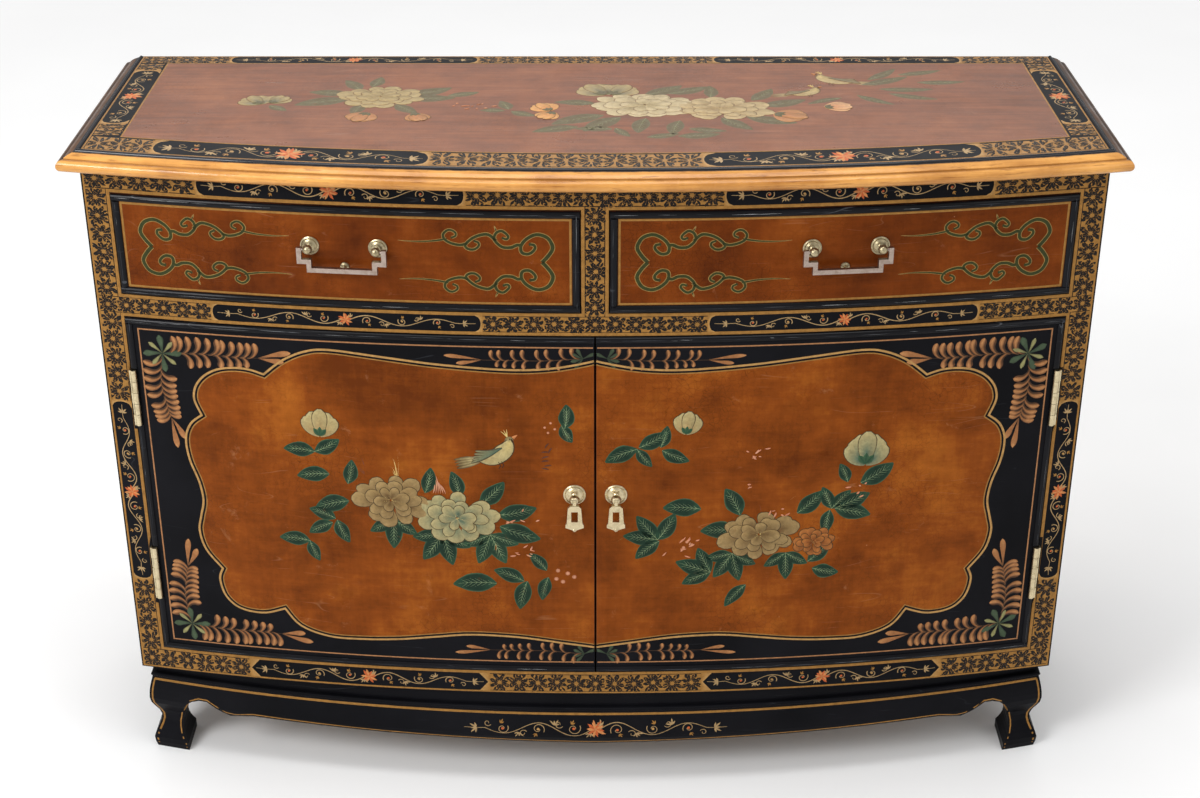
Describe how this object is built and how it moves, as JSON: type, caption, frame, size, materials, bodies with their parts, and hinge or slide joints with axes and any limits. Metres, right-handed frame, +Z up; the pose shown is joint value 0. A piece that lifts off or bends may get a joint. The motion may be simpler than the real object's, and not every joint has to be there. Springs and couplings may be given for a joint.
{
  "type": "bow-front lacquered sideboard cabinet",
  "caption": "Bow-front chinoiserie lacquer sideboard with drawers over a double-door cupboard, moulded top and bracket feet.",
  "frame": {"origin": "on the floor, at the middle of the bounding box's footprint", "axes": "+X to the right along the width as the front is faced, +Y towards the back, +Z up; the bowed front faces -Y"},
  "size_m": [1.22, 0.437, 0.85],
  "materials": {
    "black_lacquer": "gloss black lacquer over wood with painted gold ornament",
    "rust_lacquer": "gloss rust-brown lacquer over wood, crackled, painted",
    "honey_edge": "gloss honey-gold lacquer with rubbed highlights",
    "dark_edge": "gloss dark brown lacquer",
    "plain_wood": "bare, lightly oiled softwood and plywood",
    "hard_wood": "waxed hardwood",
    "pale_brass": "satin pale brass",
    "steel": "zinc-plated steel",
    "aged_nickel": "aged nickel-plated brass"
  },
  "bodies": {
    "case": {"top_panel": "rust_lacquer", "top_edge_front": "honey_edge", "top_edge_sides": "dark_edge", "top_edge_back": "black_lacquer", "side_panel_left": "black_lacquer", "side_panel_right": "black_lacquer", "back_panel": "plain_wood", "bottom_panel": "plain_wood", "dust_board": "plain_wood", "drawer_partition": "plain_wood", "drawer_guides": "hard_wood", "drawer_kickers": "hard_wood", "shelf": "plain_wood", "shelf_pins": "pale_brass", "stile_left": "black_lacquer", "stile_right": "black_lacquer", "rail_top": "black_lacquer", "rail_middle": "black_lacquer", "rail_bottom": "black_lacquer", "muntin": "black_lacquer", "door_catches": "hard_wood", "hinge_leaves_case": "pale_brass", "hinge_pins": "pale_brass", "back_screws": "pale_brass", "waist_frame": "black_lacquer", "apron_front": "black_lacquer", "apron_sides": "black_lacquer", "apron_back": "black_lacquer", "foot_front_left": "black_lacquer", "foot_front_right": "black_lacquer", "foot_back_left": "black_lacquer", "foot_back_right": "black_lacquer", "corner_blocks": "plain_wood"},
    "drawer_left": {"drawer_left_front": "rust_lacquer", "drawer_left_bead": "black_lacquer", "drawer_left_sides": "plain_wood", "drawer_left_back": "plain_wood", "drawer_left_bottom": "plain_wood", "drawer_left_bail_posts": "aged_nickel"},
    "drawer_right": {"drawer_right_front": "rust_lacquer", "drawer_right_bead": "black_lacquer", "drawer_right_sides": "plain_wood", "drawer_right_back": "plain_wood", "drawer_right_bottom": "plain_wood", "drawer_right_bail_posts": "aged_nickel"},
    "door_left": {"door_left_panel": "rust_lacquer", "door_left_bead": "black_lacquer", "door_left_hinge_leaves": "pale_brass", "door_left_catch_plate": "steel", "door_left_pull_post": "aged_nickel"},
    "door_right": {"door_right_panel": "rust_lacquer", "door_right_bead": "black_lacquer", "door_right_hinge_leaves": "pale_brass", "door_right_catch_plate": "steel", "door_right_pull_post": "aged_nickel"},
    "bail_left": {"drawer_left_bail": "aged_nickel"},
    "bail_right": {"drawer_right_bail": "aged_nickel"},
    "pull_left": {"door_left_pull": "aged_nickel"},
    "pull_right": {"door_right_pull": "aged_nickel"}
  },
  "joints": [
    {"name": "drawer_left_slide", "type": "slide", "parent": "case", "child": "drawer_left", "axis": [0, -1, 0], "range_m": [0, 0.24]},
    {"name": "drawer_right_slide", "type": "slide", "parent": "case", "child": "drawer_right", "axis": [0, -1, 0], "range_m": [0, 0.24]},
    {"name": "door_left_hinge", "type": "hinge", "parent": "case", "child": "door_left", "pos_m": [-0.553, -0.13759, 0.411], "axis": [0, 0, -1], "range_deg": [0, 120]},
    {"name": "door_right_hinge", "type": "hinge", "parent": "case", "child": "door_right", "pos_m": [0.553, -0.13759, 0.411], "axis": [0, 0, 1], "range_deg": [0, 120]},
    {"name": "bail_left_pivot", "type": "hinge", "parent": "drawer_left", "child": "bail_left", "pos_m": [-0.28784, -0.18717, 0.747], "axis": [-0.9947, 0.1028, 0], "range_deg": [0, 170]},
    {"name": "bail_right_pivot", "type": "hinge", "parent": "drawer_right", "child": "bail_right", "pos_m": [0.28784, -0.18717, 0.747], "axis": [-0.9947, -0.1028, 0], "range_deg": [0, 170]},
    {"name": "pull_left_pivot", "type": "hinge", "parent": "door_left", "child": "pull_left", "pos_m": [-0.025, -0.20202, 0.43], "axis": [-1, 0, 0], "range_deg": [0, 170]},
    {"name": "pull_right_pivot", "type": "hinge", "parent": "door_right", "child": "pull_right", "pos_m": [0.025, -0.20202, 0.43], "axis": [-1, 0, 0], "range_deg": [0, 170]}
  ]
}
